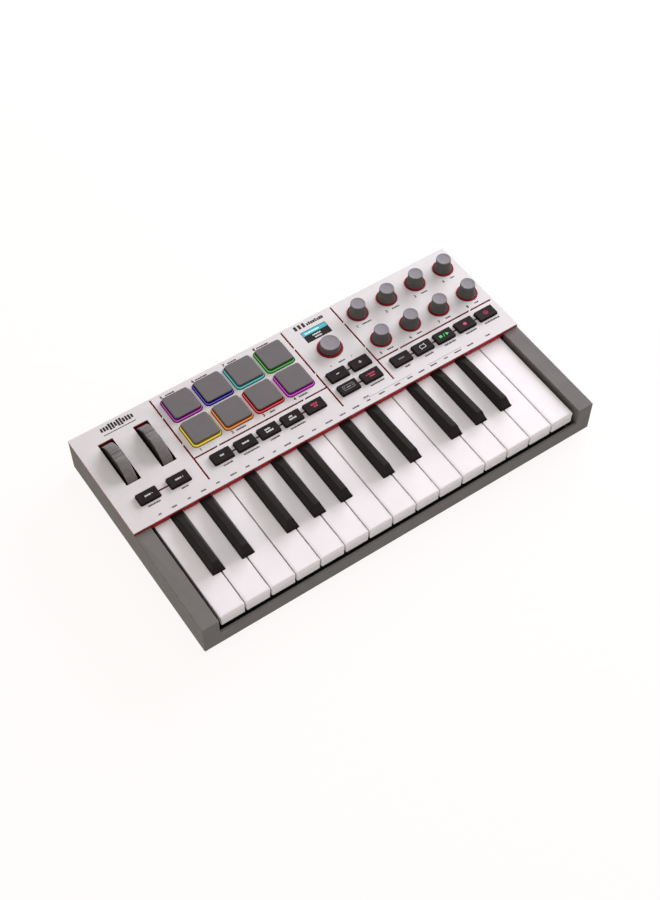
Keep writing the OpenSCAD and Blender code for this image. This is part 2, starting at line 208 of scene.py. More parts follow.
def shade(name, colour, roughness, mottle=0.04, mottleSize=9.0, grain=0.5, bump=0.02, shine=0.4, metal=0.0):
    # Colour wanders by the mottle share over patches of mottleSize mm, and roughness by a small spread.
    # A fine grain of the given size in mm is pressed into the surface by the bump height in mm.
    material = bpy.data.materials.new(name)
    material.use_nodes = True
    tree = material.node_tree
    shader = tree.nodes["Principled BSDF"]
    shader.inputs["Specular IOR Level"].default_value = shine
    shader.inputs["Metallic"].default_value = metal
    spot = tree.nodes.new("ShaderNodeTexCoord").outputs["Object"]

    def noise(size, detail):
        node = tree.nodes.new("ShaderNodeTexNoise")
        node.inputs["Scale"].default_value = 1 / (size * mm)
        node.inputs["Detail"].default_value = detail
        tree.links.new(spot, node.inputs["Vector"])
        return node.outputs["Fac"]

    def spreadOf(source, low, high):
        node = tree.nodes.new("ShaderNodeMapRange")
        node.inputs["From Min"].default_value = 0.3
        node.inputs["From Max"].default_value = 0.7
        node.inputs["To Min"].default_value = low
        node.inputs["To Max"].default_value = high
        tree.links.new(source, node.inputs["Value"])
        return node.outputs["Result"]

    patches, fine = noise(mottleSize, 3), noise(grain, 2)
    mix = tree.nodes.new("ShaderNodeMix")
    mix.data_type = "RGBA"
    tree.links.new(spreadOf(patches, 0, 1), mix.inputs["Factor"])
    mix.inputs["A"].default_value = (*[c * (1 - mottle) for c in colour], 1)
    mix.inputs["B"].default_value = (*[min(1, c * (1 + mottle)) for c in colour], 1)
    tree.links.new(mix.outputs["Result"], shader.inputs["Base Color"])
    spread = 0.06
    tree.links.new(spreadOf(fine, roughness - spread, roughness + spread), shader.inputs["Roughness"])
    relief = tree.nodes.new("ShaderNodeBump")
    relief.inputs["Strength"].default_value = 1.0
    relief.inputs["Distance"].default_value = bump * mm
    tree.links.new(fine, relief.inputs["Height"])
    tree.links.new(relief.outputs["Normal"], shader.inputs["Normal"])
    return material


def rise(tree, axis, low, high):
    # Goes from 0 to 1 between two places along an axis, given in mm.
    spot = tree.nodes.new("ShaderNodeTexCoord")
    split = tree.nodes.new("ShaderNodeSeparateXYZ")
    span = tree.nodes.new("ShaderNodeMapRange")
    span.inputs["From Min"].default_value = low * mm
    span.inputs["From Max"].default_value = high * mm
    tree.links.new(spot.outputs["Object"], split.inputs["Vector"])
    tree.links.new(split.outputs[axis], span.inputs["Value"])
    return span.outputs["Result"]


def rampOf(tree, stops):
    ramp = tree.nodes.new("ShaderNodeValToRGB")
    while len(ramp.color_ramp.elements) < len(stops):
        ramp.color_ramp.elements.new(0.5)
    for element, (at, tint) in zip(ramp.color_ramp.elements, stops):
        element.position = at
        element.color = (*tint, 1)
    return ramp


def paintedLightFront(material, colour, line):
    # Forward of the line the surface takes this other, brighter colour. This is painted light on the
    # forward-facing lip; the darker red behind it is painted shade on the knob rings.
    tree = material.node_tree
    mix = tree.nodes.new("ShaderNodeMix")
    mix.data_type = "RGBA"
    base = tree.nodes["Principled BSDF"].inputs["Base Color"]
    tree.links.new(rise(tree, "Y", line - 0.2, line + 0.2), mix.inputs["Factor"])
    mix.inputs["A"].default_value = (*colour, 1)
    tree.links.new(base.links[0].from_socket, mix.inputs["B"])
    tree.links.new(mix.outputs["Result"], base)


def lit(name, colour, strength, ownShare=0.4, roughness=0.35, **look):
    # The light's colour is also the surface's own, at a share of its brightness.
    material = shade(name, [c * ownShare for c in colour], roughness, **look)
    shader = material.node_tree.nodes["Principled BSDF"]
    shader.inputs["Emission Color"].default_value = (*colour, 1)
    shader.inputs["Emission Strength"].default_value = strength
    return material


def glowing(name, colour, strength, low, high):
    # Silicone lit by the pad's lamp: dim at its foot, brightest in a line at a third of its height, dark under
    # the cap. The dark foot and the dark band under the cap are painted shade within the glow.
    look = dict(mottle=0.1, mottleSize=2.5, grain=0.4, bump=0.02, shine=0.02)
    material = lit(name, colour, strength, ownShare=0.05, roughness=0.6, **look)
    tree = material.node_tree
    dark, dim = [c * 0.05 for c in colour], [c * 0.36 for c in colour]
    bright = [c + (1 - c) * 0.14 for c in colour]
    # The dark stops at both ends are painted shade: a shadow line at the foot, and shade under the cap's
    # overhang.
    stops = [(0.0, dark), (0.06, dim), (0.2, dim), (0.29, bright), (0.36, bright), (0.46, dim), (0.68, dark)]
    ramp = rampOf(tree, stops)
    tree.links.new(rise(tree, "Z", low, high), ramp.inputs["Fac"])
    tree.links.new(ramp.outputs["Color"], tree.nodes["Principled BSDF"].inputs["Emission Color"])
    return material


markLook = dict(mottle=0.05, bump=0.003)
finish = {
    "case": dict(
        colour=(0.178, 0.167, 0.158), roughness=0.65,
        mottle=0.05, mottleSize=14, grain=0.45, bump=0.035, shine=0.05,
    ),
    "plate": dict(
        colour=(0.675, 0.645, 0.64), roughness=0.5,
        mottle=0.025, mottleSize=12, grain=0.35, bump=0.012, shine=0.25,
    ),
    # The red is kept dark as painted shade on the knob rings; the lip at the front is given a brighter red as
    # painted light.
    "red": dict(
        colour=(0.28, 0.006, 0.014), roughness=0.45,
        mottle=0.08, mottleSize=8, grain=0.4, bump=0.012, shine=0.15,
    ),
    "whiteKey": dict(
        colour=(0.86, 0.825, 0.825), roughness=0.36,
        mottle=0.02, mottleSize=16, grain=0.6, bump=0.006, shine=0.3,
    ),
    "blackKey": dict(
        colour=(0.025, 0.022, 0.0205), roughness=0.45,
        mottle=0.12, mottleSize=6, grain=0.3, bump=0.03, shine=0.06,
    ),
    "pad": dict(
        colour=(0.150, 0.139, 0.138), roughness=0.75,
        mottle=0.03, mottleSize=7, grain=0.28, bump=0.03, shine=0.1,
    ),
    "button": dict(
        colour=(0.021, 0.0155, 0.0155), roughness=0.6,
        mottle=0.15, mottleSize=3, grain=0.3, bump=0.04, shine=0.07,
    ),
    "knobSide": dict(
        colour=(0.13, 0.13, 0.12), roughness=0.6,
        mottle=0.1, mottleSize=4, grain=0.3, bump=0.03, shine=0.2,
    ),
    "knobTop": dict(
        colour=(0.255, 0.24, 0.26), roughness=0.6,
        mottle=0.06, mottleSize=2, grain=0.4, bump=0.03, shine=0.08,
    ),
    "tread": dict(
        colour=(0.20, 0.185, 0.18), roughness=0.68,
        mottle=0.08, mottleSize=4, grain=0.3, bump=0.03, shine=0.15,
    ),
    "wheelSide": dict(
        colour=(0.035, 0.03, 0.028), roughness=0.5,
        mottle=0.1, mottleSize=5, grain=0.4, bump=0.02, shine=0.15,
    ),
    "glass": dict(
        colour=(0.03, 0.026, 0.026), roughness=0.35,
        mottle=0.1, mottleSize=1.2, grain=0.5, bump=0.001, shine=0.06,
    ),
    "ink": dict(
        colour=(0.03, 0.028, 0.028), roughness=0.6,
        mottle=0.1, mottleSize=2, grain=0.3, bump=0.004, shine=0.1,
    ),
    "paint": dict(
        colour=(0.66, 0.66, 0.66), roughness=0.6,
        mottle=0.05, mottleSize=2, grain=0.3, bump=0.004,
    ),
    "steel": dict(
        colour=(0.45, 0.45, 0.46), roughness=0.3,
        mottle=0.08, grain=0.2, bump=0.006, metal=1.0,
    ),
    "brass": dict(
        colour=(0.55, 0.42, 0.2), roughness=0.3,
        mottle=0.08, grain=0.2, bump=0.006, metal=1.0,
    ),
    "board": dict(
        colour=(0.012, 0.075, 0.03), roughness=0.38,
        mottle=0.35, mottleSize=1.6, grain=0.6, bump=0.02,
    ),
    "chassis": dict(
        colour=(0.02, 0.02, 0.021), roughness=0.55,
        mottle=0.1, mottleSize=8, grain=0.4, bump=0.03, shine=0.2,
    ),
    "socket": dict(
        colour=(0.012, 0.012, 0.013), roughness=0.42,
        mottle=0.1, mottleSize=3, grain=0.3, bump=0.015,
    ),
    "foot": dict(
        colour=(0.014, 0.014, 0.014), roughness=0.8,
        mottle=0.15, mottleSize=2, grain=0.35, bump=0.05,
    ),
}
paint = {name: shade(name, **look) for name, look in finish.items()}
print("materials ready")


# The face plate, frame, case and other moulded bodies.
edges = {"plate": 0.16, "frame": 0.14, "case": 0.5, "ports": 0.2, "chassis": 0.25, "bracket": 0.25}
softened("top_panel", "facePlate", paint["plate"], edges["plate"])
softened("panel_underlay", "redFrame", paint["red"], edges["frame"])
# Painted light: the red forward of the lip's front edge is brighter, as if lit, and the red behind it stays as
# painted shade.
paintedLightFront(paint["red"], (0.52, 0.008, 0.018), boxOf("panel_underlay")[0][1] + 0.5)
softened("bottom_case", "caseShell", paint["case"], edges["case"], segments=3)
softened("rear_ports", "rearPorts", paint["socket"], edges["ports"])
softened("key_chassis", "keyChassis", paint["chassis"], edges["chassis"])
softened("wheel_bracket", "wheelBracket", paint["chassis"], edges["bracket"])

kept = {
    "key_pivot_rod": "steel",
    "encoder_shaft": "steel",
    "case_screws": "steel",
    "circuit_boards": "board",
}
for node, look in kept.items():
    nodes[node].data.materials.clear()
    nodes[node].data.materials.append(paint[look])
print("bodies ready")


panelTop = boxOf("top_panel")[1][2]
frontLip = boxOf("panel_underlay")[0][1]
rodCentre = np.array(boxOf("key_pivot_rod")).mean(0)
rodRadius = (boxOf("key_pivot_rod")[1][2] - boxOf("key_pivot_rod")[0][2]) / 2
blackBoxes = [boxOf(f"black_key_{i}") for i in range(1, 11)]

lever = {"half": 3.8, "low": 17.0, "high": 26.0, "mouth": 1.7, "behind": 5.0, "run": 0.05}
whiteKey = {
    "topRound": 1.9, "sideRound": 0.32, "corner": 1.1, "inner": 0.5, "lip": 3.5, "apron": 0.12, "slim": 0.14,
    "height": 10.2, "wall": 1.6, "cap": 2.4, "gap": 0.7, "slotGap": 0.3, "back": 3.9,
}
blackKey = {
    "nose": 3.6, "height": 8.9, "top": 2.55, "rampAt": 46.5, "rampHeight": 5.87, "endHeight": 0.9,
    "endTop": 3.1, "round": 0.55, "skirt": 9.2, "stations": 60, "soften": 0.7,
}


def leverShape(x, half, front, top):
    # The side outline of a lever with a snap mouth round the rod, carried across its width.
    y, z = rodCentre[1], rodCentre[2]
    r = rodRadius + lever["run"]
    lean = math.acos(lever["mouth"] / r)
    arc = np.linspace(np.pi + lean, -lean, 24)
    mouth = np.column_stack([y + r * np.cos(arc), z + r * np.sin(arc)])
    low = lever["low"]
    start = [(front, low), (y - lever["mouth"], low)]
    end = [(y + lever["mouth"], low), (y + lever["behind"], low), (y + lever["behind"], top), (front, top)]
    outline = np.concatenate([start, mouth, end])
    sides = [np.column_stack([np.full(len(outline), x + s * half), outline]) for s in (-1, 1)]
    return stack(sides)


def whiteShape(node):
    # The key's plan narrows beside its black neighbours. Rings step inwards from its wall, and each ring lies
    # below the top by a quarter circle of its distance from the front and a smaller one of that from the sides.
    k = whiteKey
    low, high = boxOf(node)
    left, right, front, top = low[0] + k["slim"], high[0] - k["slim"], low[1], high[2]
    back = frontLip + k["back"]
    step = blackBoxes[0][0][1] - k["gap"]
    cutL = [b[1][0] + k["slotGap"] for b in blackBoxes if b[0][0] < left < b[1][0]]
    cutR = [b[0][0] - k["slotGap"] for b in blackBoxes if b[0][0] < right < b[1][0]]
    corners, radii = [(left, front), (right, front)], [k["corner"]] * 2
    if cutR:
        corners += [(right, step), (cutR[0], step)]
        radii += [k["inner"]] * 2
    corners += [(cutR[0] if cutR else right, back), (cutL[0] if cutL else left, back)]
    radii += [0.3, 0.3]
    if cutL:
        corners += [(cutL[0], step), (left, step)]
        radii += [k["inner"]] * 2

    def drop(distance, radius):
        d = np.clip(distance, 0, radius)
        return radius - np.sqrt(radius**2 - (radius - d) ** 2)

    def ring(inset, z):
        plan = roundedOutline(corners, radii, inset)
        return np.column_stack([plan, np.full(len(plan), z)])

    bottom, ledge = top - k["height"], top - k["lip"]
    rings = [ring(k["wall"], top - k["cap"]), ring(k["wall"], bottom), ring(k["apron"] + 0.2, bottom)]
    rings += [ring(k["apron"], bottom + 0.2), ring(k["apron"], ledge - 0.3)]
    rings += [ring(k["apron"] * 0.4, ledge - 0.1), ring(0, ledge + 0.25)]
    for turn in np.linspace(0, 90, 9):
        inset = k["topRound"] * (1 - math.cos(math.radians(turn)))
        plan = roundedOutline(corners, radii, inset)
        fall = np.maximum(drop(plan[:, 1] - front, k["topRound"]), drop(inset, k["sideRound"]))
        rings.append(np.column_stack([plan, top - fall]))
    rings.append(ring(k["topRound"] + 0.1, top))
    middle = (left + right) / 2
    return together([stack(rings), leverShape(middle, lever["half"], back - 3, lever["high"])])


def blackShape(node):
    # Cross-sections from the back to the nose: flanks lean in from the base to the top, arcs round the two
    # edges, and the height follows the key's side line, smoothed by a short running mean.
    k = blackKey
    low, high = boxOf(node)
    x, half, front = (low[0] + high[0]) / 2, (high[0] - low[0]) / 2, low[1]
    base = boxOf("white_key_1")[1][2]
    end = frontLip - 0.3
    ramp = front + k["nose"] + k["rampAt"]
    marks = [front, front + k["nose"], ramp, end]
    fine = front + (k["nose"] + 1.5) * np.linspace(0, 1, k["stations"] // 2)
    y = np.concatenate([fine, np.linspace(fine[-1], end, k["stations"] // 2)[1:]])[::-1]
    shift = np.linspace(-k["soften"], k["soften"], 9)[:, None]

    def line(values):
        return np.interp(y + shift, marks, values).mean(0)

    h = line([0, k["height"], k["rampHeight"], k["endHeight"]])
    topHalf = line([half - 0.05, k["top"], k["top"], k["endTop"]])
    lean = np.arctan2(half - topHalf, h)
    r = np.minimum(k["round"], 0.45 * h)
    centreX = topHalf - r * (1 - np.sin(lean)) / np.cos(lean)
    angle = lean[:, None] + (np.pi / 2 - lean)[:, None] * np.linspace(0, 1, 6)
    arcX = centreX[:, None] + r[:, None] * np.cos(angle)
    arcZ = base + (h - r)[:, None] + r[:, None] * np.sin(angle)
    ones = np.ones((len(y), 1))
    foot = base - k["skirt"]
    sectionX = np.hstack([-half * ones, half * ones, half * ones, arcX, -arcX[:, ::-1], -half * ones])
    sectionZ = np.hstack([foot * ones, foot * ones, base * ones, arcZ, arcZ[:, ::-1], base * ones])
    rings = np.stack([x + sectionX, np.broadcast_to(y[:, None], sectionX.shape), sectionZ], -1)
    stem = blocks([(x - 4.2, x + 4.2, end - 0.1, frontLip + 3.9)], lever["low"], base + 0.9)
    return together([stack(rings), stem, leverShape(x, 3.4, frontLip + 2, lever["high"])])


for i in range(1, 16):
    name = f"white_key_{i}"
    put(f"whiteKey{i}", whiteShape(name), [paint["whiteKey"]], name, [name], sharp=30)
for i in range(1, 11):
    name = f"black_key_{i}"
    put(f"blackKey{i}", blackShape(name), [paint["blackKey"]], name, [name], sharp=30)
print("keys ready")


pad = {"corner": 3.5, "foot": 0.3, "inset": 1.25, "capThick": 0.8, "capRound": 0.35, "strength": 1.0}
padLights = {
    "yellow": (0.95, 0.66, 0.01), "orange": (0.90, 0.24, 0.01), "red": (0.74, 0.004, 0.015),
    "magenta": (0.62, 0.008, 0.56), "purple": (0.40, 0.005, 0.38), "blue": (0.02, 0.006, 0.42),
    "teal": (0.06, 0.50, 0.46), "green": (0.04, 0.42, 0.03),
}


def padShape(low, high):
    # A square with round corners goes up a skirt that leans in and bulges a little, to a cap with a soft edge.
    x, y = (low[:2] + high[:2]) / 2
    top, width = high[2], high[0] - low[0]
    foot, shoulder = panelTop + pad["foot"], top - pad["capThick"]
    skirt = [(pad["inset"] * t**1.4, foot + (shoulder - foot) * t) for t in np.linspace(0, 1, 7)]
    capInset, r = pad["inset"] - 0.05, pad["capRound"]
    edge = [(capInset, shoulder), (capInset, top - r)]
    edge += [(capInset + r * (1 - math.cos(a)), top - r + r * math.sin(a)) for a in np.radians([30, 60, 90])]
    profile = [(0, low[2]), (0, panelTop)] + skirt + edge + [(pad["inset"] + 1.2, top)]
    steps = 7
    around = 4 * steps
    zone = np.zeros((len(profile) - 1) * around + 2, int)
    zone[(1 + len(skirt)) * around:] = 1
    zone[-2] = 0
    return slab(rectangle(x, y, width, width), [pad["corner"]] * 4, profile, steps), zone


for i, (light, colour) in enumerate(padLights.items(), 1):
    name = f"pad_{i}"
    low, high = boxOf(name)
    shape, zone = padShape(low, high)
    glow = glowing(f"glow{light.capitalize()}", colour, pad["strength"], panelTop, high[2])
    put(f"pad{i}", shape, [glow, paint["pad"]], name, [name], zone)
print("pads ready")


knob = {
    "ribs": 34, "ribDepth": 0.26, "around": 272, "rim": 0.8, "flare": 3.0, "capRound": 0.55,
    "capRadius": 6.1, "encoderCapRadius": 7.95,
}


def knobShape(node, topRadius, capShare):
    # From the rim up, the radius falls to that of the cap by a power of the height that is left.
    low, high = boxOf(node)
    x, y = (low[:2] + high[:2]) / 2
    base, foot, top = (high[0] - low[0]) / 2, low[2], high[2]
    height = top - foot
    t = np.linspace(0, 1, 15)
    radius = topRadius + 0.05 + (base - 0.4 - topRadius) * (1 - t) ** knob["flare"]
    z = foot + knob["rim"] + (height - knob["rim"] - 0.7) * t
    side = np.column_stack([radius, z])
    rim = [(base - 0.5, foot), (base - 0.15, foot + 0.1)]
    rim += [(base, foot + 0.35), (base, foot + knob["rim"] - 0.15)]
    turn = np.radians([0, 22, 45, 67, 90])
    r = knob["capRound"]
    edge = [(topRadius - r + r * math.cos(a), top - r + r * math.sin(a)) for a in turn]
    dish = topRadius * capShare
    cap = [(dish + 0.35, top), (dish, top - 0.12), (dish - 0.4, top - 0.2)]
    cap += [(dish * 0.5, top - 0.24), (0.3, top - 0.25)]
    profile = np.array([*rim, *side, *edge, *cap])
    ribbed = np.zeros(len(profile))
    ribbed[len(rim) + 1:len(rim) + len(side)] = 1
    ribbed[len(rim)] = 0.5
    rings = len(profile) - 1
    zone = np.zeros(rings * knob["around"] + 2, int)
    zone[(len(rim) + len(side)) * knob["around"]:] = 1
    zone[-2] = 0
    return turned(x, y, profile, knob["around"], knob["ribs"], knob["ribDepth"], ribbed), zone


knobPaints = [paint["knobSide"], paint["knobTop"]]
for i in range(1, 9):
    name = f"knob_{i}"
    shape, zone = knobShape(name, knob["capRadius"], 0.8)
    put(f"knob{i}", shape, knobPaints, name, [name], zone)
shape, zone = knobShape("encoder_knob", knob["encoderCapRadius"], 0.86)
put("encoderKnob", shape, knobPaints, "encoder_knob", ["encoder_knob"], zone)
print("knobs ready")


wheel = {
    "ribPitch": 1.6, "ribDepth": 0.2, "rim": 0.55, "flat": 2.6, "notchRadius": 11.0, "notchAway": 9.4,
    "cut": 0.45, "cutsAt": [0.6, -3.2, -6.4, -9.2, -11.6], "cutWidth": 0.3, "hub": 5.5, "block": 14,
}


def wheelShape(node, back):
    # The tread is an arc whose radius loses a cosine for the ribs, a few bell curves for deeper cuts and, near
    # the top, the notch's circle.
    # The outline closes below round a block and the hub, and is carried across the width with a round rim.
    low, high = boxOf(node)
    x, half = (low[0] + high[0]) / 2, (high[0] - low[0]) / 2
    y, radius = (low[1] + high[1]) / 2, (high[1] - low[1]) / 2
    z = low[2] + wheel["hub"]
    first = math.asin(wheel["flat"] / radius)
    angle = np.linspace(first, math.pi - first, 520)
    ribs = wheel["ribDepth"] * (0.5 - 0.5 * np.cos(2 * np.pi * radius * angle / wheel["ribPitch"]))
    away = radius + wheel["notchAway"]
    off = angle - math.pi / 2 + math.radians(back)
    under = wheel["notchRadius"] ** 2 - (away * np.sin(off)) ** 2
    notch = away * np.cos(off) - np.sqrt(np.maximum(under, 0))
    along = radius * off
    r = np.minimum(radius - ribs, np.where(under > 0, notch, radius))
    r = r - wheel["cut"] * sum(np.exp(-(((along - at) / wheel["cutWidth"]) ** 2)) for at in wheel["cutsAt"])
    tread = np.column_stack([r * np.cos(angle), r * np.sin(angle)])
    hubArc = np.linspace(math.radians(213), math.radians(327), 12)
    hub = wheel["hub"] * np.column_stack([np.cos(hubArc), np.sin(hubArc)])
    left = [(-wheel["block"], wheel["flat"]), (-wheel["block"], -3)]
    right = [(wheel["block"], -3), (wheel["block"], wheel["flat"])]
    outline = np.concatenate([tread, left, hub, right])
    reach = np.linalg.norm(outline, axis=1)[:, None]
    turn = np.radians([0, 20, 40, 60, 90])
    rim = wheel["rim"]
    across = [(-half, rim + 1.0)]
    across += [(-half + rim * (1 - math.sin(a)), rim * (1 - math.cos(a))) for a in turn[::-1]]
    across += [(-s, inset) for s, inset in across[::-1]]
    rings = []
    for s, inset in across:
        section = outline * (1 - inset / reach)
        rings.append(np.column_stack([np.full(len(section), x + s), section[:, 0] + y, section[:, 1] + z]))
    around = len(outline)
    zone = np.ones((len(rings) - 1) * around + 2, int)
    zone[:around] = 0
    zone[-around - 2:] = 0
    return stack(rings), zone


for name, piece, back in [("pitch_wheel", "pitchWheel", 0), ("mod_wheel", "modWheel", 8)]:
    shape, zone = wheelShape(name, back)
    put(piece, shape, [paint["wheelSide"], paint["tread"]], name, [name], zone, sharp=50)
print("wheels ready")


button = {
    "width": 17.0, "depth": 10.0, "corner": 0.7, "round": 0.38, "webAside": 9.0, "web": 1.2, "ink": 0.04,
}
strips = {
    "left_buttons": dict(stem="left", columns=2, rows=1),
    "pad_row_buttons": dict(stem="padRow", columns=5, rows=1),
    "menu_buttons": dict(stem="menu", columns=2, rows=2),
    "transport_buttons": dict(stem="transport", columns=5, rows=1),
}


def buttonSpots(node):
    # Centres from the strip's box, row by row from the front.
    low, high = boxOf(node)
    size = strips[node]
    xs = np.linspace(low[0] + button["webAside"], high[0] - button["webAside"], size["columns"])
    ys = np.linspace(low[1] + button["depth"] / 2, high[1] - button["depth"] / 2, size["rows"])
    return [(x, y) for y in ys for x in xs]


def stripShape(node):
    # Each button's outline goes up to a rounded edge and a top that dips a little, and a web joins them below.
    low, high = boxOf(node)
    turn = np.radians([0, 25, 50, 70, 90])
    r, top = button["round"], high[2]
    edge = [(r * (1 - math.cos(a)), top - r + r * math.sin(a)) for a in turn]
    profile = [(0.1, low[2]), (0, low[2] + 0.1)] + edge + [(r + 0.6, top), (r + 1.4, top - 0.06)]
    made = []
    for x, y in buttonSpots(node):
        made.append(slab(rectangle(x, y, button["width"], button["depth"]), [button["corner"]] * 4, profile))
    web = [(low[0], high[0], low[1] + 1, high[1] - 1)]
    return together(made + [blocks(web, low[2], low[2] + button["web"])])


def words(x, y, width, height):
    # A made-up caption: a row of small strokes of unlike heights, centred on the spot.
    count = max(2, round(width / (height * 0.62)))
    at = x - width / 2 + width * (np.arange(count) + 0.5) / count
    half = width / count * (0.4 + 0.05 * np.sin(1.7 * np.arange(count) + width))
    tall = height * (0.85 + 0.15 * np.cos(2.4 * np.arange(count) + width))
    return np.column_stack([at - half, at + half, np.full(count, y - height / 2), y - height / 2 + tall])


def bar(x, y, width, height):
    return np.array([[x - width / 2, x + width / 2, y - height / 2, y + height / 2]])


def band(outer, inner, low, high):
    # The flat ring between two loops of equal length, as a thin closed slab.
    loops = [(inner, low), (outer, low), (outer, high), (inner, high)]
    rings = np.array(levels([o for o, _ in loops], [z for _, z in loops]))
    around = rings.shape[1]
    k = np.arange(around)
    j = (k + 1) % around
    pairs = [(a * around, b * around) for a, b in [(0, 1), (1, 2), (2, 3), (3, 0)]]
    faces = [np.stack([a + k, a + j, b + j, b + k], -1) for a, b in pairs]
    return rings.reshape(-1, 3), np.concatenate(faces).tolist()


def circle(x, y, r, count=32):
    a = np.linspace(0, 2 * np.pi, count, endpoint=False)
    return np.column_stack([x + r * np.cos(a), y + r * np.sin(a)])


def sheetOf(outline, low, high):
    return stack(levels([outline, outline], [low, high]))


def frameMark(x, y, width, depth, line, corner, low, high):
    outer = roundedOutline(rectangle(x, y, width, depth), [corner] * 4)
    inner = roundedOutline(rectangle(x, y, width, depth), [corner] * 4, line)
    return band(outer, inner, low, high)


def marks(node):
    # (colour, shape) of every mark on a strip.
    spots = buttonSpots(node)
    low = boxOf(node)[1][2] - 0.08
    high = low + 0.08 + button["ink"]

    def flat(rects):
        return blocks(rects, low, high)

    if node == "left_buttons":
        lines = [np.vstack([words(x - 0.3, y, 5.2, 1.5), bar(x + 3.6, y, 1.1, 0.35)]) for x, y in spots]
        lines.append(bar(spots[1][0] + 3.6, spots[1][1], 0.35, 1.1))
        return [("white", flat(rects)) for rects in lines]
    if node == "pad_row_buttons":
        rows = [[(0, 0, 3.6)], [(0, 0, 6.0)], [(-0.6, 1.2, 5.0), (0.2, -1.2, 6.4)]]
        rows += [[(-0.6, 1.2, 3.4), (0.2, -1.2, 6.2)], [(0, 1.2, 6.0), (0.3, -1.2, 3.8)]]
        made = []
        for k, (x, y) in enumerate(spots):
            lines = np.vstack([words(x + dx, y + dy, w, 1.6) for dx, dy, w in rows[k]])
            made.append(("pink" if k == 4 else "white", flat(lines)))
        return made
    if node == "menu_buttons":
        (ax, ay), (bx, by), (cx, cy), (dx, dy) = spots
        keys = frameMark(ax, ay, 10.4, 4.6, 0.45, 0.9, low, high)
        uprights = [bar(ax - 3.6, ay, 0.5, 2.2), bar(ax + 3.6, ay, 0.5, 2.2)]
        inside = flat(np.vstack([words(ax, ay, 4.4, 1.4), *uprights]))
        pinks = [bar(bx - 3.6, by + 0.9, 1.4, 0.7)]
        pinks += [words(bx + 0.8, by + 1.2, 6.2, 1.5), words(bx + 0.4, by - 1.2, 5.0, 1.5)]
        minus = bar(cx, cy, 2.8, 0.65)
        plus = np.vstack([bar(dx, dy, 2.8, 0.6), bar(dx, dy, 0.6, 2.8)])
        made = [("grey", together([keys, inside])), ("pink", flat(np.vstack(pinks)))]
        return made + [("white", flat(minus)), ("white", flat(plus))]
    (ax, ay), (bx, by), (cx, cy), (dx, dy), (ex, ey) = spots

    def sheet(*corners):
        return sheetOf(np.array(corners), low, high)

    arrow = [sheet((bx - 2.6, by - 2.6), (bx - 0.6, by - 1.6), (bx - 2.6, by - 0.6))]
    arrow += [sheet((bx + 2.6, by + 2.6), (bx + 0.6, by + 1.6), (bx + 2.6, by + 0.6))]
    loop = [frameMark(bx, by, 5.4, 3.8, 0.45, 1.2, low, high)]
    play = [flat(bar(cx - 3.2, cy, 2.4, 2.4))]
    play += [sheet((cx - 0.7, cy - 1.5), (cx - 0.2, cy - 1.5), (cx + 0.8, cy + 1.5), (cx + 0.3, cy + 1.5))]
    play += [sheet((cx + 2.1, cy - 1.5), (cx + 4.7, cy), (cx + 2.1, cy + 1.5))]
    add = [band(circle(ex, ey, 1.9), circle(ex, ey, 1.5), low, high)]
    add += [flat(np.vstack([bar(ex, ey, 1.8, 0.4), bar(ex, ey, 0.4, 1.8)]))]
    made = [("grey", flat(words(ax, ay, 5.4, 1.5))), ("white", together(loop + arrow))]
    made += [("green", together(play))]
    return made + [("pink", sheetOf(circle(dx, dy, 1.6), low, high)), ("pink", together(add))]


glyphs = {
    "white": paint["paint"],
    "grey": shade("greyPaint", (0.2, 0.2, 0.2), 0.6, grain=0.3, bump=0.004),
    # The pink and green print gives off light: this is a painted glow, because the print is no lamp.
    "pink": lit("pinkMark", (0.62, 0.05, 0.13), 0.55, **markLook),
    "green": lit("greenMark", (0.08, 0.55, 0.16), 0.8, **markLook),
}
for node, size in strips.items():
    stem = size["stem"]
    put(f"{stem}Buttons", stripShape(node), [paint["button"]], node, [node])
    for colour in glyphs:
        found = [shape for tint, shape in marks(node) if tint == colour]
        if found:
            piece = f"{stem}Marks{colour.capitalize()}"
            put(piece, together(found), [glyphs[colour]], node)
print("buttons ready")


printing = {
    "bold": 0.15, "height": 1.5, "ink": 0.04, "sink": 0.05, "belowButton": 7.9, "belowKnob": 12.0,
    "belowEncoder": 16.1, "padDigit": 3.7, "knobDigit": 3.5, "besideEncoder": 10.6,
    "padWords": [0, 9, 5, 8, 8, 11, 8, 11], "knobWords": [9, 7, 6, 4, 6, 5, 5, 4],
}
inkLow, inkHigh = panelTop - printing["sink"], panelTop + printing["ink"]


def digit(text, x, y, size):
    # A numeral from the built-in typeface, made a mesh and moved to its place.
    curve = bpy.data.curves.new("numeral", "FONT")
    curve.body = text
    curve.size = size
    curve.offset = printing["bold"]
    curve.align_x = "CENTER"
    curve.align_y = "CENTER"
    curve.resolution_u = 3
    letter = place("numeral", curve)
    bpy.context.view_layer.update()
    flat = letter.to_mesh()
    work = bmesh.new()
    work.from_mesh(flat)
    bmesh.ops.remove_doubles(work, verts=work.verts, dist=1e-5)
    grown = bmesh.ops.extrude_face_region(work, geom=list(work.faces))
    raised = [v for v in grown["geom"] if isinstance(v, bmesh.types.BMVert)]
    bmesh.ops.translate(work, verts=raised, vec=Vector((0, 0, inkHigh - inkLow)))
    bmesh.ops.recalc_face_normals(work, faces=work.faces)
    work.verts.index_update()
    points = np.array([v.co for v in work.verts]) + np.array([x, y, inkLow])
    faces = [[v.index for v in face.verts] for face in work.faces]
    work.free()
    letter.to_mesh_clear()
    bpy.data.objects.remove(letter)
    return points, faces


